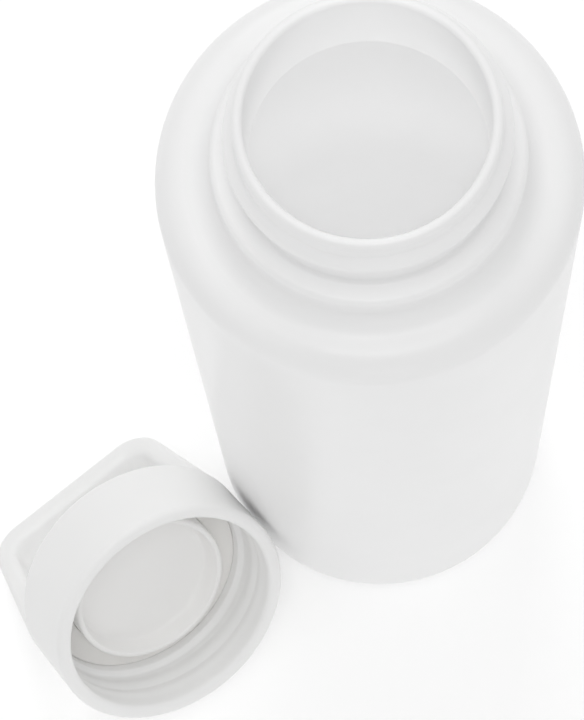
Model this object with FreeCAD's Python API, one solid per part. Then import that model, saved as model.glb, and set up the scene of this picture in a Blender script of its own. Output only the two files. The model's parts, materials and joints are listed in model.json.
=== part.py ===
import FreeCAD, Part
import math
import os

# Wide-mouth screw-cap bottle, double walled, with its carry-loop cap off and standing beside it.
# Units are millimetres. The origin is the centre of the bottle's foot, on the floor, and +Z is up.

# Outer shell
BODY_R = 36.0
SHELL_WALL = 0.8
BASE_CORNER_R = 10.0
FOOT_RING_R = 25.0
FLANGE_TOP = 3.6
SHOULDER_CORNER_R = 5.3
SHOULDER_EDGE_Z = 187.85
SHOULDER_FOOT_Z = 188.51
COLLAR_R = 26.09
COLLAR_FILLET = 4.0
COLLAR_TOP_Z = 195.95
RECESS_R = 22.0
LAND_R = 21.55
SEAM_Z = 209.85
NECK_BORE_R = 20.7

# Neck thread, right handed
NECK_THREAD_CREST_R = 23.4
NECK_THREAD_HALF = 2.0
NECK_THREAD_Z0 = 203.5
NECK_THREAD_START = 95.0
NECK_THREAD_TURNS = 1.0
THREAD_PITCH = 4.0

# Inner liner
MOUTH_R = 19.73
LIP_Z = 212.25
LIP_ROUND = 0.9
LINER_WALL = 0.7
BORE_END_Z = 194.5
CHAMBER_R = 32.9
CHAMBER_TOP_Z = 185.6
CHAMBER_FLOOR_Z = 6.5

# Base disc
DISC_PLATE_Z = 3.0
DISC_PLATE_T = 0.7

# Cap, drawn upright about its own axis with z = 0 on its rim
CAP_R = 26.97
SKIRT_H = 18.22
CAP_MOUTH_R = 23.8
THREAD_ROOT_R = 24.2
SEAT_R = 23.0
SEAT_EDGE_Z = 13.7
SEAT_FLOOR_Z = 17.2
CAP_THREAD_CREST_R = 22.9
CAP_THREAD_HALF = 1.8
CAP_THREAD_Z0 = 3.95
CAP_THREAD_START = 330.0
CAP_THREAD_TURNS = 1.6

# Plug, its core and the seal
PLUG_R = 17.65
PLUG_CREST_Z = 10.55
DISH_Z = 15.0
DISH_R = 15.6
DISH_MOUTH_R = 16.4
PLUG_WALL = 1.4
PLUG_FLOOR_T = 1.0
SEAL_GAP = 0.3
SEAL_T = 1.3

# Carry loop
LOOP_TOP_Z = 50.76
LOOP_TOP_HALF = 21.6
LOOP_OUTER_CORNER = 8.2
LOOP_INNER_CORNER = 4.5
LOOP_LEG_T = 4.7
LOOP_BAR_T = 5.2
LOOP_WIDTH = 9.0
LOOP_EDGE_R = 1.7
LOOP_ROOT_R = 3.0
GUSSET_BITE = 0.3
CROWN_R = 25.4
CROWN_H = 2.0

# Where the cap stands: centre of its rim, direction its mouth faces, and its turn about that
CAP_RIM_AT = FreeCAD.Vector(-50.86, -39.85, 32.23)
CAP_MOUTH_AZIMUTH = -60.08
CAP_MOUTH_ELEVATION = 34.91
CAP_TURN = 0.75

AXIS = FreeCAD.Vector(0, 0, 1)


def unit(vector):
    result = FreeCAD.Vector(vector)
    result.normalize()
    return result


def rounded_wire(corners):
    """Closed wire in the XZ plane through (x, z, corner radius) corners."""
    points = [FreeCAD.Vector(x, 0, z) for x, z, _ in corners]
    count = len(points)
    starts = []
    ends = []
    middles = []
    for i in range(count):
        here = points[i]
        radius = corners[i][2]
        before = unit(points[i - 1] - here)
        after = unit(points[(i + 1) % count] - here)
        if radius == 0:
            starts.append(here)
            ends.append(here)
            middles.append(None)
            continue
        half = before.getAngle(after) / 2.0
        setback = radius / math.tan(half)
        bisector = unit(before + after)
        centre = here + bisector * (radius / math.sin(half))
        starts.append(here + before * setback)
        ends.append(here + after * setback)
        middles.append(centre - bisector * radius)
    edges = []
    for i in range(count):
        if middles[i] is not None:
            edges.append(Part.Arc(starts[i], middles[i], ends[i]).toShape())
        following = starts[(i + 1) % count]
        if (following - ends[i]).Length > 1e-6:
            edges.append(Part.LineSegment(ends[i], following).toShape())
    return Part.Wire(edges)


def turned(corners):
    """Solid turned about Z from a rounded section."""
    face = Part.Face(rounded_wire(corners))
    return face.revolve(FreeCAD.Vector(0, 0, 0), AXIS, 360)


def turned_point(radius, angle, z):
    return FreeCAD.Vector(radius * math.cos(angle), radius * math.sin(angle), z)


def thread(root_r, crest_r, half, z0, start_deg, turns, side):
    """Helical rib lofted through rounded sections that sink into the wall at both ends."""
    steps = int(round(turns * 40))
    sections = []
    for i in range(steps + 1):
        along = i / steps
        ramp = min(1.0, along * turns * 9.0, (1.0 - along) * turns * 9.0)
        rise = 0.06 + 0.94 * math.sin(ramp * math.pi / 2.0)
        angle = math.radians(start_deg + 360.0 * turns * along)
        z = z0 + THREAD_PITCH * turns * along
        width = half * (0.55 + 0.45 * rise)
        tip = root_r + side * rise * abs(crest_r - root_r)
        back = root_r - side * 0.25
        low = turned_point(back, angle, z - width)
        crest = turned_point(tip, angle, z)
        high = turned_point(back, angle, z + width)
        arc = Part.Arc(low, crest, high).toShape()
        sections.append(Part.Wire([arc, Part.LineSegment(high, low).toShape()]))
    return Part.makeLoft(sections, True, False)


def outer_shell():
    inner_corner = SHOULDER_CORNER_R - SHELL_WALL
    inner_fillet = COLLAR_FILLET - SHELL_WALL
    inner_r = BODY_R - SHELL_WALL
    body = turned([
        (FOOT_RING_R, 0, 0),
        (BODY_R, 0, BASE_CORNER_R),
        (BODY_R, SHOULDER_EDGE_Z, SHOULDER_CORNER_R),
        (COLLAR_R, SHOULDER_FOOT_Z, COLLAR_FILLET),
        (COLLAR_R, COLLAR_TOP_Z, 1.2),
        (RECESS_R, COLLAR_TOP_Z + 0.3, 1.0),
        (RECESS_R, COLLAR_TOP_Z + 7.0, 3.0),
        (LAND_R, SEAM_Z - 2.4, 3.0),
        (LAND_R, SEAM_Z, 0),
        (NECK_BORE_R, SEAM_Z, 0),
        (NECK_BORE_R, COLLAR_TOP_Z - SHELL_WALL, 0.6),
        (COLLAR_R - SHELL_WALL, COLLAR_TOP_Z - SHELL_WALL, 0.6),
        (COLLAR_R - SHELL_WALL, SHOULDER_FOOT_Z - SHELL_WALL, inner_fillet),
        (inner_r, SHOULDER_EDGE_Z - SHELL_WALL, inner_corner),
        (inner_r, SHELL_WALL, BASE_CORNER_R - SHELL_WALL),
        (FOOT_RING_R + SHELL_WALL, SHELL_WALL, 0),
        (FOOT_RING_R + SHELL_WALL, FLANGE_TOP, 0),
        (FOOT_RING_R, FLANGE_TOP, 0),
    ])
    rib = thread(LAND_R, NECK_THREAD_CREST_R, NECK_THREAD_HALF, NECK_THREAD_Z0,
                 NECK_THREAD_START, NECK_THREAD_TURNS, 1)
    return body.fuse(rib)


def inner_liner():
    out_bore = MOUTH_R + LINER_WALL
    out_r = CHAMBER_R + LINER_WALL
    out_top = CHAMBER_TOP_Z + LINER_WALL
    out_floor = CHAMBER_FLOOR_Z - LINER_WALL
    return turned([
        (MOUTH_R, LIP_Z, LIP_ROUND),
        (LAND_R, LIP_Z, LIP_ROUND),
        (LAND_R, SEAM_Z, 0),
        (out_bore, SEAM_Z, 0),
        (out_bore, BORE_END_Z + 0.24, 1.8),
        (26.85, out_top, 4.7),
        (out_r, out_top, 5.2),
        (out_r, out_floor, 7.7),
        (0, out_floor, 0),
        (0, CHAMBER_FLOOR_Z, 0),
        (CHAMBER_R, CHAMBER_FLOOR_Z, 7.0),
        (CHAMBER_R, CHAMBER_TOP_Z, 4.5),
        (26.5, CHAMBER_TOP_Z, 4.0),
        (MOUTH_R, BORE_END_Z, 2.5),
    ])


def base_disc():
    plate_top = DISC_PLATE_Z + DISC_PLATE_T
    rim_in = FOOT_RING_R - DISC_PLATE_T
    return turned([
        (0, DISC_PLATE_Z, 0),
        (rim_in, DISC_PLATE_Z, 0.6),
        (rim_in, 0.9, 0),
        (FOOT_RING_R, 0.9, 0),
        (FOOT_RING_R, plate_top, 0.9),
        (0, plate_top, 0),
    ])


def cap_shell():
    body = turned([
        (CAP_R, 0, 1.3),
        (CAP_R, SKIRT_H, 0.8),
        (0, SKIRT_H, 0),
        (0, SEAT_FLOOR_Z, 0),
        (SEAT_R, SEAT_FLOOR_Z, 0.6),
        (SEAT_R, SEAT_EDGE_Z, 0.4),
        (THREAD_ROOT_R, SEAT_EDGE_Z - 0.9, 0.4),
        (THREAD_ROOT_R, 4.6, 1.0),
        (CAP_MOUTH_R, 2.0, 1.0),
        (CAP_MOUTH_R, 0, 1.2),
    ])
    rib = thread(THREAD_ROOT_R, CAP_THREAD_CREST_R, CAP_THREAD_HALF, CAP_THREAD_Z0,
                 CAP_THREAD_START, CAP_THREAD_TURNS, -1)
    return body.fuse(rib)


def plug_cup():
    return turned([
        (0, DISH_Z, 0),
        (DISH_R, DISH_Z, 1.2),
        (DISH_MOUTH_R, PLUG_CREST_Z, 0.45),
        (PLUG_R, PLUG_CREST_Z, 0.6),
        (PLUG_R, SEAT_FLOOR_Z, 0),
        (PLUG_R - PLUG_WALL, SEAT_FLOOR_Z, 0),
        (PLUG_R - PLUG_WALL, DISH_Z + PLUG_FLOOR_T, 0.4),
        (0, DISH_Z + PLUG_FLOOR_T, 0),
    ])


def plug_core():
    bottom = DISH_Z + PLUG_FLOOR_T
    radius = PLUG_R - PLUG_WALL
    return turned([(0, bottom, 0), (radius, bottom, 0.4), (radius, SEAT_FLOOR_Z, 0), (0, SEAT_FLOOR_Z, 0)])


def seal_ring():
    top = SEAT_FLOOR_Z - SEAL_GAP
    bottom = top - SEAL_T
    inside = PLUG_R + SEAL_GAP
    outside = SEAT_R - SEAL_GAP
    return turned([(inside, bottom, 0.3), (outside, bottom, 0.3), (outside, top, 0.3), (inside, top, 0.3)])


def loop_gusset(side, lean):
    """Hollow-faced web that blends the inside of one leg into the crown."""
    low = SKIRT_H + CROWN_H
    leg_x = CAP_R - LOOP_LEG_T - lean * CROWN_H
    sag = LOOP_ROOT_R * (1.0 - math.sqrt(0.5))
    corner = FreeCAD.Vector(side * (leg_x + GUSSET_BITE), 0, low - GUSSET_BITE)
    inward = FreeCAD.Vector(side * (leg_x - LOOP_ROOT_R), 0, low - GUSSET_BITE)
    toe = FreeCAD.Vector(side * (leg_x - LOOP_ROOT_R), 0, low)
    hollow = FreeCAD.Vector(side * (leg_x - sag), 0, low + sag)
    head = FreeCAD.Vector(side * (leg_x - lean * LOOP_ROOT_R), 0, low + LOOP_ROOT_R)
    above = FreeCAD.Vector(side * (leg_x + GUSSET_BITE), 0, low + LOOP_ROOT_R)
    edges = [
        Part.LineSegment(corner, inward).toShape(),
        Part.LineSegment(inward, toe).toShape(),
        Part.Arc(toe, hollow, head).toShape(),
        Part.LineSegment(head, above).toShape(),
        Part.LineSegment(above, corner).toShape(),
    ]
    width = LOOP_WIDTH - 2.0 * LOOP_EDGE_R
    face = Part.Face(Part.Wire(edges))
    face.translate(FreeCAD.Vector(0, -width / 2.0, 0))
    return face.extrude(FreeCAD.Vector(0, width, 0))


def carry_loop():
    """Flat-sided loop whose legs run flush into the skirt, on a low crown disc."""
    foot_z = SKIRT_H
    inner_top = LOOP_TOP_Z - LOOP_BAR_T
    lean = (CAP_R - LOOP_TOP_HALF) / (LOOP_TOP_Z - foot_z)
    inner_top_half = LOOP_TOP_HALF + lean * LOOP_BAR_T - LOOP_LEG_T
    outline = rounded_wire([
        (-CAP_R, foot_z, 0),
        (-LOOP_TOP_HALF, LOOP_TOP_Z, LOOP_OUTER_CORNER),
        (LOOP_TOP_HALF, LOOP_TOP_Z, LOOP_OUTER_CORNER),
        (CAP_R, foot_z, 0),
        (CAP_R - LOOP_LEG_T, foot_z, 0),
        (inner_top_half, inner_top, LOOP_INNER_CORNER),
        (-inner_top_half, inner_top, LOOP_INNER_CORNER),
        (-CAP_R + LOOP_LEG_T, foot_z, 0),
    ])
    face = Part.Face(outline)
    face.translate(FreeCAD.Vector(0, -LOOP_WIDTH / 2.0, 0))
    band = face.extrude(FreeCAD.Vector(0, LOOP_WIDTH, 0))
    side_edges = []
    for edge in band.Edges:
        box = edge.BoundBox
        flat = abs(box.YMax - box.YMin) < 1e-6
        on_foot = box.ZMax < foot_z + 1e-6
        if flat and not on_foot:
            side_edges.append(edge)
    band = band.makeFillet(LOOP_EDGE_R, side_edges)
    limit = Part.makeCylinder(CAP_R, LOOP_TOP_Z)
    band = band.common(limit)
    crown = turned([
        (0, SKIRT_H, 0),
        (CROWN_R, SKIRT_H, 0),
        (CROWN_R, SKIRT_H + CROWN_H, 1.0),
        (0, SKIRT_H + CROWN_H, 0),
    ])
    loop = band.fuse(crown)
    for side in (-1, 1):
        loop = loop.fuse(loop_gusset(side, lean))
    return loop.removeSplitter()


def cap_placement():
    azimuth = math.radians(CAP_MOUTH_AZIMUTH)
    elevation = math.radians(CAP_MOUTH_ELEVATION)
    turn = math.radians(CAP_TURN)
    flat = math.cos(elevation)
    mouth = FreeCAD.Vector(flat * math.cos(azimuth), flat * math.sin(azimuth), math.sin(elevation))
    level = unit(AXIS.cross(mouth))
    rise = mouth.cross(level)
    along = level * math.cos(turn) + rise * math.sin(turn)
    up = mouth * -1.0
    across = up.cross(along)
    matrix = FreeCAD.Matrix(
        along.x, across.x, up.x, CAP_RIM_AT.x,
        along.y, across.y, up.y, CAP_RIM_AT.y,
        along.z, across.z, up.z, CAP_RIM_AT.z,
        0, 0, 0, 1)
    return FreeCAD.Placement(matrix)


def main():
    os.makedirs("parts", exist_ok=True)
    bottle_nodes = {
        "outer_shell": outer_shell(),
        "inner_liner": inner_liner(),
        "base_disc": base_disc(),
    }
    cap_nodes = {
        "cap_shell": cap_shell(),
        "carry_loop": carry_loop(),
        "plug_cup": plug_cup(),
        "plug_core": plug_core(),
        "seal_ring": seal_ring(),
    }
    place = cap_placement()
    for shape in cap_nodes.values():
        shape.Placement = place.multiply(shape.Placement)
    nodes = dict(bottle_nodes)
    nodes.update(cap_nodes)
    for name, shape in nodes.items():
        shape.exportStep("parts/" + name + ".step")
        box = shape.BoundBox
        print(name, "solids", len(shape.Solids), "valid", shape.isValid(),
              "volume %.1f" % shape.Volume,
              "z %.2f to %.2f" % (box.ZMin, box.ZMax))


main()
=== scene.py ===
import json
import math

import bmesh
import bpy
from mathutils import Matrix, Vector

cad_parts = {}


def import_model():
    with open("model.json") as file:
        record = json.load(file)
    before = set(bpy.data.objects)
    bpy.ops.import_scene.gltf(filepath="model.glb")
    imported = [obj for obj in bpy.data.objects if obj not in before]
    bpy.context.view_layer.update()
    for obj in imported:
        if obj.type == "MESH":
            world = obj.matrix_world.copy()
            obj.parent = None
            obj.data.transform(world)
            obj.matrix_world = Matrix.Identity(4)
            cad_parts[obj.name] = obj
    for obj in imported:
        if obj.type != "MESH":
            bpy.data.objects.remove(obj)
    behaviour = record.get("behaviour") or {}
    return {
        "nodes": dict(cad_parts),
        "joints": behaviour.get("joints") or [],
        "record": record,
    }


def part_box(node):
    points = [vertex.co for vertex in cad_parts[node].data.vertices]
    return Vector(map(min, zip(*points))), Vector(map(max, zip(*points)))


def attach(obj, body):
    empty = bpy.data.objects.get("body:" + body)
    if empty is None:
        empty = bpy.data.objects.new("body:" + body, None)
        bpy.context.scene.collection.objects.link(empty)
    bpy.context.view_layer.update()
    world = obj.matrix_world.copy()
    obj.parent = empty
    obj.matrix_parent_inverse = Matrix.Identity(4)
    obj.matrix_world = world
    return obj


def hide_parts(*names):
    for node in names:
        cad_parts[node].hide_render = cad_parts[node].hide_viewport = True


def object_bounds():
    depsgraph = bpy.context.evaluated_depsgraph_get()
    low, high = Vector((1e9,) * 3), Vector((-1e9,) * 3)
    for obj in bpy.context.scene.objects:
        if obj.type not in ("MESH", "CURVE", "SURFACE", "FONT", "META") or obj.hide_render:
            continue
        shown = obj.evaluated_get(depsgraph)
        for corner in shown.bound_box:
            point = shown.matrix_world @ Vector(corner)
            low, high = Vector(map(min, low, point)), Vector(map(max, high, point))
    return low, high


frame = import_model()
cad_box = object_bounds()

# A white wide-mouth bottle standing open, with its carry-loop screw cap lying beside it.
# Sections are drawn in millimetres and become metres when their mesh is made. A section is a list of
# (distance from the axis, level, corner radius). The cap is drawn upright, with level 0 on its rim.

MM = 0.001
FULL_TURN = 2.0 * math.pi
UPRIGHT = Matrix.Identity(4)

# Meshes: parts of a full turn, the largest turn and run between points, and the fine run on a thread
SEGMENTS = 192
ARC_STEP = math.radians(9.0)
ARC_LEAST = 3
LONGEST_RUN = 6.0
THREAD_RUN = 0.25
SHARP_ANGLE = math.radians(32.0)
TINY = 1e-6

# Bottle, outside
SHELL_WALL = 0.8
BASE_CORNER_R = 10.0
FOOT_ROUND = 0.35
FLANGE_TOP = 3.6
SHOULDER_CORNER_R = 5.3
SHOULDER_EDGE_Z = 187.85
SHOULDER_FOOT_Z = 188.51
COLLAR_R = 26.09
COLLAR_FILLET = 4.0
COLLAR_TOP_Z = 195.95
COLLAR_TOP_ROUND = 1.2
COLLAR_TOP_SLOPE = 0.3
RECESS_R = 22.0
RECESS_FILLET = 1.0
RECESS_H = 7.0
LAND_R = 21.55
LAND_H = 2.4
LAND_BLEND_R = 3.0
NECK_BORE_R = 20.7
HIDDEN_EDGE_R = 0.6

# Bottle, inside. The liner's hidden side runs one wall away, so its corner radii differ by one wall. On
# the slanted run under the mouth that shifts its two corners by a rise and a spread.
LINER_WALL = 0.7
LIP_ROUND = 0.9
BORE_END_Z = 194.5
BORE_END_R = 2.5
CHAMBER_CONE_R = 26.5
CHAMBER_CONE_CORNER_R = 4.0
CHAMBER_TOP_Z = 185.6
CHAMBER_TOP_CORNER_R = 4.5
CHAMBER_FLOOR_Z = 6.5
CHAMBER_FLOOR_CORNER_R = 7.0
BORE_END_RISE = 0.24
CONE_SPREAD = 0.35
DISC_BEND_R = 0.6
DISC_TOP_R = 0.9
DISC_EDGE_R = 0.15

# Threads, right handed: radii, half the ridge's width and its first level in mm, start in degrees, and
# turns. A run-out is a share of a turn. A fullness under 1 makes the ridge rounder than a cosine wave.
THREAD_PITCH = 4.0
THREAD_RUNOUT = 0.11
THREAD_FULLNESS = 0.8
THREAD_MARGIN = 0.2
THREAD_FINE_FOOT_GAP = 1.0
THREAD_FINE_SEAM_GAP = 0.05
NECK_THREAD = {"root": LAND_R, "crest": 23.4, "half": 2.35, "z0": 203.5, "start": 95.0, "turns": 1.0}
CAP_THREAD = {"root": 24.2, "crest": 23.85, "half": 2.2, "z0": 3.95, "start": 330.0, "turns": 1.6}

# Cap
CAP_TURN = math.radians(0.75)
RIM_ROUND = 1.3
SKIRT_TOP_ROUND = 0.8
CAP_MOUTH_R = 23.8
MOUTH_EDGE_R = 1.2
LEAD_IN_Z = 1.6
LEAD_IN_R = 4.0
LEAD_IN_TOP_Z = 6.0
LEAD_IN_TOP_R = 6.0
THREAD_WALL_LOW_Z = 0.8
THREAD_FINE_LOW_Z = 1.2
THREAD_FINE_TOP_GAP = 0.4
SEAT_R = 23.0
SEAT_EDGE_Z = 13.7
SEAT_EDGE_R = 0.6
SEAT_STEP_H = 0.9
SEAT_STEP_R = 0.8
SEAT_FLOOR_Z = 17.2

# Plug and seal
PLUG_CREST_Z = 10.55
PLUG_BEAD_OUT_R = 0.6
PLUG_BEAD_IN_R = 0.45
DISH_Z = 15.0
DISH_R = 15.6
DISH_CORNER_R = 1.2
DISH_MOUTH_R = 16.4
PLUG_WALL = 1.4
PLUG_FLOOR_T = 1.0
PLUG_INNER_CORNER_R = 0.4
SEAL_CLEARANCE = 0.03
SEAL_EDGE_R = 0.3

# Loop and crown
LOOP_TOP_HALF = 21.6
LOOP_OUTER_CORNER = 8.2
LOOP_INNER_CORNER = 4.5
LOOP_LEG_T = 4.7
LOOP_BAR_T = 5.2
LOOP_EDGE_R = 1.7
LOOP_EDGE_RUN = 1.2
LOOP_ROOT_R = 3.0
LOOP_STEPS = 24
LOOP_TOP_BAND = 1.0
CROWN_R = 25.4
CROWN_H = 2.0
CROWN_ROUND = 1.0

# Surfaces: noise scales per metre, and the stretch of a noise value that is spread over the full range
CLOUD_SCALE = 38.0
WEAR_SCALE = 160.0
NOISE_LOW = 0.3
NOISE_HIGH = 0.7
COAT_SPECULAR = 0.35
PLASTIC_SPECULAR = 0.5

# Camera
CAMERA_AT = Vector((-17.393, -153.042, 632.929)) * MM
CAMERA_DIP = math.radians(74.608)
CAMERA_ROLL = math.radians(-8.645)
CAMERA_LENS = 141.845
SENSOR_WIDTH = 36.0

WHITE = (1.0, 1.0, 1.0, 1.0)

# Floor: reach is its half width in object sizes, and drop is how far below the object it lies, in metres
FLOOR_COLOUR = (0.98, 0.98, 0.98, 1.0)
FLOOR_ROUGHNESS = 0.9
FLOOR_SHEEN = 0.1
FLOOR_GLOW = 0.18
FLOOR_REACH = 12.0
FLOOR_DROP = 0.0001

# Lights: a direction from the object, a distance and a width in object sizes, and watts
WORLD_STRENGTH = 0.55
SOFTBOXES = (
    ("right_softbox", (0.74, 0.0, 0.67), 5.0, 2.6, 0.45),
    ("left_softbox", (-0.7, -0.15, 0.7), 5.0, 2.6, 0.4),
    ("back_softbox", (0.0, 0.74, 0.67), 5.0, 2.6, 2.65),
    ("front_softbox", (0.0, -0.98, 0.21), 5.0, 1.8, 0.65),
    ("top_softbox", (0.0, 0.0, 1.0), 5.0, 2.6, 1.55),
    ("camera_softbox", (0.0, -0.22, 0.975), 8.0, 3.0, 4.8),
)
# Lamps on the bottle's axis, because the photograph's flat light also fills the inside: a share of the
# bottle's height, and watts. A spot at the camera lights the far side of the mouth.
INNER_LAMPS = ((0.17, 0.008), (0.38, 0.0042), (0.6, 0.0068), (0.85, 0.0056))
INNER_LAMP_R = 12.0
MOUTH_SPOT_POWER = 1.9
MOUTH_SPOT_R = 19.6
MOUTH_SPOT_SOURCE_R = 2.0
MOUTH_SPOT_BLEND = 0.2


# ---------------------------------------------------------------- sections and turned meshes

def divided(start, end, longest):
    """Points from start up to but not at end, no further apart than the longest run."""
    count = max(1, math.ceil((end - start).length / longest - TINY))
    return [start.lerp(end, i / count) for i in range(count)]


def corner_points(before, here, after, radius, steps=None):
    """Points of one rounded corner, in the given steps if any, or the corner itself at radius 0."""
    if radius == 0:
        return [here]
    to_before = (before - here).normalized()
    to_after = (after - here).normalized()
    half = to_before.angle(to_after) / 2.0
    centre = here + (to_before + to_after).normalized() * (radius / math.sin(half))
    spoke = here + to_before * (radius / math.tan(half)) - centre
    sweep = math.pi - 2.0 * half
    turn = to_before.x * to_after.y - to_before.y * to_after.x
    sweep = math.copysign(sweep, -turn)
    count = steps or max(ARC_LEAST, math.ceil(abs(sweep) / ARC_STEP))
    return [centre + Matrix.Rotation(sweep * i / count, 2) @ spoke for i in range(count + 1)]


def outline(corners, longest=LONGEST_RUN, fine=None):
    """Closed outline of a section. Runs inside the fine (low, high) levels are cut to thread steps."""
    places = [Vector((x, z)) for x, z, _ in corners]
    rounded = []
    for i, (_, _, radius) in enumerate(corners):
        rounded.append(corner_points(places[i - 1], places[i], places[(i + 1) % len(places)], radius))
    points = []
    for i, corner in enumerate(rounded):
        points.extend(corner[:-1])
        following = rounded[(i + 1) % len(rounded)][0]
        if (following - corner[-1]).length > TINY:
            points.extend(divided(corner[-1], following, longest))
        else:
            points.append(corner[-1])
    if fine is None:
        return points
    low, high = fine
    finer = []
    for i, here in enumerate(points):
        following = points[(i + 1) % len(points)]
        inside = max(here.y, following.y) > low and min(here.y, following.y) < high
        finer.extend(divided(here, following, THREAD_RUN) if inside else [here])
    return finer


def piece_from(name, bm, matrix, body, material, replaced):
    """Finished mesh of one piece: smooth, on its body, standing for its CAD nodes."""
    bmesh.ops.remove_doubles(bm, verts=bm.verts, dist=TINY)
    bmesh.ops.transform(bm, matrix=matrix, verts=bm.verts)
    bmesh.ops.recalc_face_normals(bm, faces=bm.faces)
    mesh = bpy.data.meshes.new(name)
    bm.to_mesh(mesh)
    bm.free()
    mesh.shade_smooth()
    mesh.set_sharp_from_angle(angle=SHARP_ANGLE)
    mesh.materials.append(material)
    piece = bpy.data.objects.new(name, mesh)
    bpy.context.scene.collection.objects.link(piece)
    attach(piece, body)
    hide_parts(*replaced)


def turned_mesh(points, reshape=None):
    """Mesh turned about Z from a closed outline. Reshape gives a radius from (radius, angle, level)."""
    bm = bmesh.new()
    rings = []
    for point in points:
        if point.x < TINY:
            rings.append([bm.verts.new((0.0, 0.0, point.y * MM))])
            continue
        ring = []
        for i in range(SEGMENTS):
            angle = FULL_TURN * i / SEGMENTS
            radius = reshape(point.x, angle, point.y) if reshape else point.x
            ring.append(bm.verts.new((
                radius * math.cos(angle) * MM, radius * math.sin(angle) * MM, point.y * MM)))
        rings.append(ring)
    for i, ring in enumerate(rings):
        after = rings[(i + 1) % len(rings)]
        if len(ring) == 1 and len(after) == 1:
            continue
        for k in range(SEGMENTS):
            n = (k + 1) % SEGMENTS
            corners = [ring[k % len(ring)], ring[n % len(ring)], after[n % len(after)], after[k % len(after)]]
            bm.faces.new(list(dict.fromkeys(corners)))
    return bm


def eased(share):
    """Smooth step from 0 to 1."""
    share = min(1.0, max(0.0, share))
    return share * share * (3.0 - 2.0 * share)


def ridge(thread, angle, level):
    """Share of its full height that a soft helical thread has at an angle and a level."""
    started = math.radians(thread["start"])
    best = 0.0
    for lap in range(-1, math.ceil(thread["turns"]) + 1):
        along = (angle - started) / FULL_TURN + lap
        if not 0.0 < along < thread["turns"]:
            continue
        away = abs(level - thread["z0"] - THREAD_PITCH * along) / thread["half"]
        if away < 1.0:
            end = eased(min(along, thread["turns"] - along) / THREAD_RUNOUT)
            best = max(best, end * (0.5 + 0.5 * math.cos(math.pi * away)) ** THREAD_FULLNESS)
    return best


def threaded(thread, is_wall):
    """Reshape function that raises a thread on the wall's points towards its crest."""
    def reshape(radius, angle, level):
        if not is_wall(radius, level):
            return radius
        return radius + (thread["crest"] - radius) * ridge(thread, angle, level)
    return reshape


# ---------------------------------------------------------------- the bottle

def bottle_shell(material):
    """Outer wall, shoulder, collar and threaded neck, up to the seam under the lip."""
    _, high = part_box("outer_shell")
    body_r = high.x / MM
    seam_z = high.z / MM
    foot_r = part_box("base_disc")[1].x / MM
    inner_r = body_r - SHELL_WALL
    section = outline([
        (foot_r, 0, FOOT_ROUND),
        (body_r, 0, BASE_CORNER_R),
        (body_r, SHOULDER_EDGE_Z, SHOULDER_CORNER_R),
        (COLLAR_R, SHOULDER_FOOT_Z, COLLAR_FILLET),
        (COLLAR_R, COLLAR_TOP_Z, COLLAR_TOP_ROUND),
        (RECESS_R, COLLAR_TOP_Z + COLLAR_TOP_SLOPE, RECESS_FILLET),
        (RECESS_R, COLLAR_TOP_Z + RECESS_H, LAND_BLEND_R),
        (LAND_R, seam_z - LAND_H, LAND_BLEND_R),
        (LAND_R, seam_z, 0),
        (NECK_BORE_R, seam_z, 0),
        (NECK_BORE_R, COLLAR_TOP_Z - SHELL_WALL, HIDDEN_EDGE_R),
        (COLLAR_R - SHELL_WALL, COLLAR_TOP_Z - SHELL_WALL, HIDDEN_EDGE_R),
        (COLLAR_R - SHELL_WALL, SHOULDER_FOOT_Z - SHELL_WALL, COLLAR_FILLET - SHELL_WALL),
        (inner_r, SHOULDER_EDGE_Z - SHELL_WALL, SHOULDER_CORNER_R - SHELL_WALL),
        (inner_r, SHELL_WALL, BASE_CORNER_R - SHELL_WALL),
        (foot_r + SHELL_WALL, SHELL_WALL, FOOT_ROUND),
        (foot_r + SHELL_WALL, FLANGE_TOP, FOOT_ROUND),
        (foot_r, FLANGE_TOP, FOOT_ROUND),
    ], fine=(COLLAR_TOP_Z + THREAD_FINE_FOOT_GAP, seam_z - THREAD_FINE_SEAM_GAP))
    wall = NECK_BORE_R + THREAD_MARGIN
    reshape = threaded(NECK_THREAD, lambda r, z: wall < r < COLLAR_R and z > COLLAR_TOP_Z)
    bm = turned_mesh(section, reshape)
    piece_from("bottle_shell", bm, UPRIGHT, "bottle", material, ["outer_shell"])


def bottle_liner(material):
    """Lip, mouth bore and chamber."""
    seam_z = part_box("outer_shell")[1].z / MM
    _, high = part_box("inner_liner")
    lip_z = high.z / MM
    out_r = high.x / MM
    chamber_r = out_r - LINER_WALL
    mouth_r = next(m for m in frame["record"]["mounts"] if m["name"] == "mouth")["dims"]["r_mm"]
    out_bore = mouth_r + LINER_WALL
    out_top_z = CHAMBER_TOP_Z + LINER_WALL
    out_floor_z = CHAMBER_FLOOR_Z - LINER_WALL
    section = outline([
        (mouth_r, lip_z, LIP_ROUND),
        (LAND_R, lip_z, LIP_ROUND),
        (LAND_R, seam_z, 0),
        (out_bore, seam_z, 0),
        (out_bore, BORE_END_Z + BORE_END_RISE, BORE_END_R - LINER_WALL),
        (CHAMBER_CONE_R + CONE_SPREAD, out_top_z, CHAMBER_CONE_CORNER_R + LINER_WALL),
        (out_r, out_top_z, CHAMBER_TOP_CORNER_R + LINER_WALL),
        (out_r, out_floor_z, CHAMBER_FLOOR_CORNER_R + LINER_WALL),
        (0, out_floor_z, 0),
        (0, CHAMBER_FLOOR_Z, 0),
        (chamber_r, CHAMBER_FLOOR_Z, CHAMBER_FLOOR_CORNER_R),
        (chamber_r, CHAMBER_TOP_Z, CHAMBER_TOP_CORNER_R),
        (CHAMBER_CONE_R, CHAMBER_TOP_Z, CHAMBER_CONE_CORNER_R),
        (mouth_r, BORE_END_Z, BORE_END_R),
    ])
    bm = turned_mesh(section)
    piece_from("bottle_liner", bm, UPRIGHT, "bottle", material, ["inner_liner"])


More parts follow.
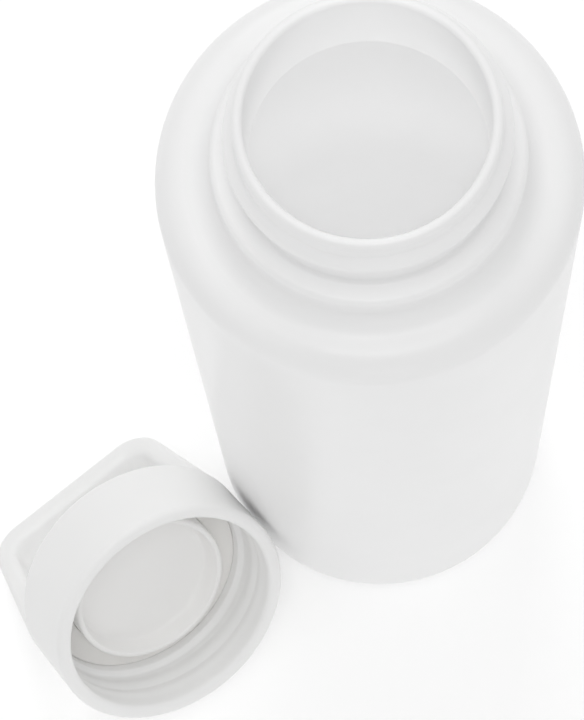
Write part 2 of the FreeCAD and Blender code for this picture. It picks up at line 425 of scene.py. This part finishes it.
def foot_disc(material):
    """Shallow dish set into the foot."""
    low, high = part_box("base_disc")
    rim_r = high.x / MM
    rim_z = low.z / MM
    top_z = high.z / MM
    plate_z = top_z - LINER_WALL
    section = outline([
        (0, plate_z, 0),
        (rim_r - LINER_WALL, plate_z, DISC_BEND_R),
        (rim_r - LINER_WALL, rim_z, DISC_EDGE_R),
        (rim_r, rim_z, DISC_EDGE_R),
        (rim_r, top_z, DISC_TOP_R),
        (0, top_z, 0),
    ])
    piece_from("foot_disc", turned_mesh(section), UPRIGHT, "bottle", material, ["base_disc"])


# ---------------------------------------------------------------- the cap

def cap_frame():
    """The cap's own frame at rest: origin at the centre of its rim, Z from the rim up to the loop."""
    turn = next(j for j in frame["joints"] if j["name"] == "cap_turn")
    up = Vector(turn["axis"]).normalized()
    mouth = -up
    level = Vector((0, 0, 1)).cross(mouth).normalized()
    rise = mouth.cross(level)
    along = level * math.cos(CAP_TURN) + rise * math.sin(CAP_TURN)
    across = up.cross(along)
    rotation = Matrix((along, across, up)).transposed()
    vertices = [rotation.transposed() @ v.co for v in frame["nodes"]["cap_shell"].data.vertices]
    rim = min(v.z for v in vertices)
    centre = Vector(turn["pos_m"])
    centre += up * (rim - centre.dot(up))
    return Matrix.Translation(centre) @ rotation.to_4x4()


def reach(node, place):
    """(furthest from the cap's axis, lowest level, highest level) of a CAD node, in the cap's frame."""
    local = [place.inverted() @ v.co / MM for v in frame["nodes"][node].data.vertices]
    return max(v.xy.length for v in local), min(v.z for v in local), max(v.z for v in local)


def cap_skirt(place, material):
    """Skirt with its thread and seat, and the top plate."""
    cap_r, _, skirt_h = reach("cap_shell", place)
    root = CAP_THREAD["root"]
    section = outline([
        (cap_r, 0, RIM_ROUND),
        (cap_r, skirt_h, SKIRT_TOP_ROUND),
        (0, skirt_h, 0),
        (0, SEAT_FLOOR_Z, 0),
        (SEAT_R, SEAT_FLOOR_Z, SEAT_EDGE_R),
        (SEAT_R, SEAT_EDGE_Z, SEAT_EDGE_R),
        (root, SEAT_EDGE_Z - SEAT_STEP_H, SEAT_STEP_R),
        (root, LEAD_IN_TOP_Z, LEAD_IN_TOP_R),
        (CAP_MOUTH_R, LEAD_IN_Z, LEAD_IN_R),
        (CAP_MOUTH_R, 0, MOUTH_EDGE_R),
    ], fine=(THREAD_FINE_LOW_Z, SEAT_EDGE_Z - THREAD_FINE_TOP_GAP))
    wall = root + THREAD_MARGIN
    reshape = threaded(CAP_THREAD, lambda r, z: SEAT_R < r < wall and THREAD_WALL_LOW_Z < z < SEAT_EDGE_Z)
    bm = turned_mesh(section, reshape)
    piece_from("cap_skirt", bm, place, "cap", material, ["cap_shell"])


def plug(place, material):
    """Hollow plug with a bead round its sunken face."""
    plug_r, _, top = reach("plug_cup", place)
    section = outline([
        (0, DISH_Z, 0),
        (DISH_R, DISH_Z, DISH_CORNER_R),
        (DISH_MOUTH_R, PLUG_CREST_Z, PLUG_BEAD_IN_R),
        (plug_r, PLUG_CREST_Z, PLUG_BEAD_OUT_R),
        (plug_r, top, 0),
        (plug_r - PLUG_WALL, top, 0),
        (plug_r - PLUG_WALL, DISH_Z + PLUG_FLOOR_T, PLUG_INNER_CORNER_R),
        (0, DISH_Z + PLUG_FLOOR_T, 0),
    ])
    piece_from("plug", turned_mesh(section), place, "cap", material, ["plug_cup"])


def seal(place, material):
    """Flat ring that fills the seat round the plug."""
    _, low, high = reach("seal_ring", place)
    outside = SEAT_R - SEAL_CLEARANCE
    inside = reach("plug_cup", place)[0] + SEAL_CLEARANCE
    corners = ((inside, low), (outside, low), (outside, high), (inside, high))
    section = outline([(r, z, SEAL_EDGE_R) for r, z in corners])
    piece_from("seal", turned_mesh(section), place, "seal", material, ["seal_ring"])


def loop_sides(cap_r, skirt_h, top_z):
    """Matching points along the loop's outer and inner outlines, from one foot over to the other."""
    lean = (cap_r - LOOP_TOP_HALF) / (top_z - skirt_h)
    crown_z = skirt_h + CROWN_H
    bar_z = top_z - LOOP_BAR_T
    inner_half = LOOP_TOP_HALF + lean * LOOP_BAR_T - LOOP_LEG_T
    root_x = cap_r - LOOP_LEG_T - lean * CROWN_H
    root = corner_points(Vector((-root_x + 2.0 * LOOP_ROOT_R, crown_z)), Vector((-root_x, crown_z)),
                         Vector((-inner_half, bar_z)), LOOP_ROOT_R)
    root.insert(0, Vector((root[0].x, skirt_h)))
    inner_bend = corner_points(root[-1], Vector((-inner_half, bar_z)), Vector((inner_half, bar_z)),
                               LOOP_INNER_CORNER, LOOP_STEPS)
    outer_foot = Vector((-cap_r, skirt_h))
    outer_bend = corner_points(outer_foot, Vector((-LOOP_TOP_HALF, top_z)), Vector((LOOP_TOP_HALF, top_z)),
                               LOOP_OUTER_CORNER, LOOP_STEPS)
    inner_leg = root[:-1] + [root[-1].lerp(inner_bend[0], i / LOOP_STEPS) for i in range(LOOP_STEPS)]
    rises = [(p.y - skirt_h) / (inner_bend[0].y - skirt_h) for p in inner_leg]
    outer_leg = [outer_foot.lerp(outer_bend[0], rise) for rise in rises]
    sides = []
    for leg, bend, level in ((outer_leg, outer_bend, top_z), (inner_leg, inner_bend, bar_z)):
        middle = Vector((0, level))
        bar = [bend[-1].lerp(middle, i / LOOP_STEPS) for i in range(1, LOOP_STEPS)]
        left = leg + bend + bar
        right = [Vector((-p.x, p.y)) for p in reversed(left)]
        sides.append(left + [middle] + right)
    return sides


def loop_section(width, thickness):
    """Rounded rectangle as (share of the thickness, distance across) points."""
    radius = LOOP_EDGE_R
    corners = [(0, -width / 2, radius), (thickness, -width / 2, radius),
               (thickness, width / 2, radius), (0, width / 2, radius)]
    return [(p.x / thickness, p.y) for p in outline(corners, longest=LOOP_EDGE_RUN)]


def carry_loop(place, material):
    """The loop, kept inside the skirt's own circle, and the crown disc between its feet."""
    cap_r = reach("cap_shell", place)[0]
    _, skirt_h, top_z = reach("carry_loop", place)
    local = [place.inverted() @ v.co / MM for v in frame["nodes"]["carry_loop"].data.vertices]
    width = 2.0 * max(abs(v.y) for v in local if v.z > top_z - LOOP_TOP_BAND)
    section = loop_section(width, LOOP_LEG_T)
    bm = bmesh.new()
    rings = []
    for outer, inner in zip(*loop_sides(cap_r, skirt_h, top_z)):
        ring = []
        for share, side in section:
            point = inner.lerp(outer, share)
            limit = math.sqrt(cap_r ** 2 - side ** 2)
            x = math.copysign(min(abs(point.x), limit), point.x)
            ring.append(bm.verts.new(Vector((x, side, point.y)) * MM))
        rings.append(ring)
    for first, second in zip(rings, rings[1:]):
        for k in range(len(first)):
            n = (k + 1) % len(first)
            bm.faces.new((first[k], first[n], second[n], second[k]))
    bm.faces.new(rings[0])
    bm.faces.new(rings[-1])
    piece_from("carry_loop_moulding", bm, place, "cap", material, ["carry_loop"])
    crown = turned_mesh(outline([
        (0, skirt_h, 0),
        (CROWN_R, skirt_h, 0),
        (CROWN_R, skirt_h + CROWN_H, CROWN_ROUND),
        (0, skirt_h + CROWN_H, 0),
    ]))
    piece_from("crown_disc", crown, place, "cap", material, ["carry_loop"])


# ---------------------------------------------------------------- materials

def node(tree, kind, **inputs):
    """New shader node with the given input values."""
    made = tree.nodes.new(kind)
    for name, value in inputs.items():
        made.inputs[name.replace("_", " ")].default_value = value
    return made


def new_material(name):
    """New material with its node tree and its main shader."""
    material = bpy.data.materials.new(name)
    material.use_nodes = True
    return material, material.node_tree, material.node_tree.nodes["Principled BSDF"]


def moulded(name, light, dark, rough, grain=None, specular=PLASTIC_SPECULAR):
    """Opaque surface: a faint cloud of two near colours, uneven gloss and, if given, a fine grain."""
    material, tree, shader = new_material(name)
    place = node(tree, "ShaderNodeTexCoord")
    cloud = node(tree, "ShaderNodeTexNoise", Scale=CLOUD_SCALE, Detail=3.0)
    tree.links.new(place.outputs["Object"], cloud.inputs["Vector"])
    tint = node(tree, "ShaderNodeValToRGB")
    for element, position, colour in zip(tint.color_ramp.elements, (NOISE_LOW, NOISE_HIGH), (dark, light)):
        element.position = position
        element.color = (*colour, 1.0)
    tree.links.new(cloud.outputs["Fac"], tint.inputs["Fac"])
    tree.links.new(tint.outputs["Color"], shader.inputs["Base Color"])
    wear = node(tree, "ShaderNodeTexNoise", Scale=WEAR_SCALE, Detail=4.0)
    tree.links.new(place.outputs["Object"], wear.inputs["Vector"])
    gloss = node(tree, "ShaderNodeMapRange",
                 From_Min=NOISE_LOW, From_Max=NOISE_HIGH, To_Min=rough[0], To_Max=rough[1])
    tree.links.new(wear.outputs["Fac"], gloss.inputs["Value"])
    tree.links.new(gloss.outputs["Result"], shader.inputs["Roughness"])
    shader.inputs["Specular IOR Level"].default_value = specular
    if grain:
        width, height = grain
        bumps = node(tree, "ShaderNodeTexNoise", Scale=1.0 / (width * MM), Detail=2.0)
        tree.links.new(place.outputs["Object"], bumps.inputs["Vector"])
        bump = node(tree, "ShaderNodeBump", Strength=1.0, Distance=height * MM)
        tree.links.new(bumps.outputs["Fac"], bump.inputs["Height"])
        tree.links.new(bump.outputs["Normal"], shader.inputs["Normal"])
    return material


# ---------------------------------------------------------------- stage

def floor():
    """Pale floor that glows a little, as an overexposed studio sweep does."""
    low, high = cad_box
    material, _, shader = new_material("pale_floor")
    shader.inputs["Base Color"].default_value = FLOOR_COLOUR
    shader.inputs["Roughness"].default_value = FLOOR_ROUGHNESS
    shader.inputs["Specular IOR Level"].default_value = FLOOR_SHEEN
    shader.inputs["Emission Color"].default_value = WHITE
    shader.inputs["Emission Strength"].default_value = FLOOR_GLOW
    bm = bmesh.new()
    bmesh.ops.create_grid(bm, x_segments=1, y_segments=1, size=(high - low).length * FLOOR_REACH)
    mesh = bpy.data.meshes.new("floor")
    bm.to_mesh(mesh)
    bm.free()
    mesh.materials.append(material)
    plane = bpy.data.objects.new("floor", mesh)
    plane.location.z = low.z - FLOOR_DROP
    bpy.context.scene.collection.objects.link(plane)


def aimed(name, lamp, place, target):
    """A light at a place, turned to its target."""
    light = bpy.data.objects.new(name, lamp)
    light.location = place
    light.rotation_euler = (target - place).to_track_quat("-Z", "Y").to_euler()
    bpy.context.scene.collection.objects.link(light)
    return light


def world():
    """Even white light from all sides."""
    backdrop = bpy.data.worlds.new("studio")
    backdrop.use_nodes = True
    background = backdrop.node_tree.nodes["Background"]
    background.inputs["Color"].default_value = WHITE
    background.inputs["Strength"].default_value = WORLD_STRENGTH
    bpy.context.scene.world = backdrop


def softboxes():
    """Round area lights about the object."""
    low, high = cad_box
    middle = (low + high) / 2.0
    size = (high - low).length
    for name, direction, distance, width, power in SOFTBOXES:
        lamp = bpy.data.lights.new(name, "AREA")
        lamp.shape = "DISK"
        lamp.size = size * width
        lamp.energy = power
        light = aimed(name, lamp, middle + Vector(direction).normalized() * size * distance, middle)
        light.visible_camera = False


def inner_lights():
    """Lamps along the bottle's axis, and the spot into its mouth."""
    mouth = Vector((0.0, 0.0, cad_box[1].z))
    for share, power in INNER_LAMPS:
        lamp = bpy.data.lights.new("inner_lamp", "POINT")
        lamp.energy = power
        lamp.shadow_soft_size = INNER_LAMP_R * MM
        light = aimed("inner_lamp", lamp, mouth * share, mouth)
        light.visible_camera = False
        light.visible_glossy = False
    spot = bpy.data.lights.new("mouth_spot", "SPOT")
    spot.energy = MOUTH_SPOT_POWER
    spot.spot_size = 2.0 * math.atan(MOUTH_SPOT_R * MM / (CAMERA_AT - mouth).length)
    spot.spot_blend = MOUTH_SPOT_BLEND
    spot.shadow_soft_size = MOUTH_SPOT_SOURCE_R * MM
    aimed("mouth_spot", spot, CAMERA_AT, mouth)


def camera():
    """The photograph's own view, high over the mouth and rolled to one side."""
    lens = bpy.data.cameras.new("camera")
    lens.lens = CAMERA_LENS
    lens.sensor_width = SENSOR_WIDTH
    eye = bpy.data.objects.new("camera", lens)
    tilt = math.pi / 2.0 - CAMERA_DIP
    eye.matrix_world = (
        Matrix.Translation(CAMERA_AT) @ Matrix.Rotation(tilt, 4, "X") @ Matrix.Rotation(CAMERA_ROLL, 4, "Z"))
    bpy.context.scene.collection.objects.link(eye)
    bpy.context.scene.camera = eye


# Each material: its light and dark colour, lowest and highest roughness, and grain width and height in mm
coat = moulded("coat", (0.96, 0.96, 0.96), (0.945, 0.945, 0.945), (0.28, 0.36), (1.6, 0.001), COAT_SPECULAR)
liner_coat = moulded("liner_coat", (0.945, 0.945, 0.945), (0.93, 0.93, 0.93), (0.4, 0.5))
cap_plastic = moulded("cap_plastic", (0.96, 0.96, 0.955), (0.945, 0.945, 0.94), (0.4, 0.5), (0.45, 0.004))
plug_plastic = moulded("plug_plastic", (0.95, 0.945, 0.935), (0.935, 0.93, 0.92), (0.42, 0.5), (0.45, 0.004))
seal_rubber = moulded("seal_rubber", (0.96, 0.95, 0.93), (0.945, 0.935, 0.915), (0.5, 0.6), (0.6, 0.004))
core_foam = moulded("core_foam", (0.86, 0.85, 0.82), (0.78, 0.77, 0.73), (0.8, 0.95), (0.8, 0.1))

bottle_shell(coat)
bottle_liner(liner_coat)
foot_disc(coat)
cap_place = cap_frame()
cap_skirt(cap_place, cap_plastic)
carry_loop(cap_place, cap_plastic)
plug(cap_place, plug_plastic)
seal(cap_place, seal_rubber)
core = frame["nodes"]["plug_core"]
core.data.materials.clear()
core.data.materials.append(core_foam)

floor()
world()
softboxes()
inner_lights()
camera()
bpy.context.scene.view_settings.view_transform = "Standard"
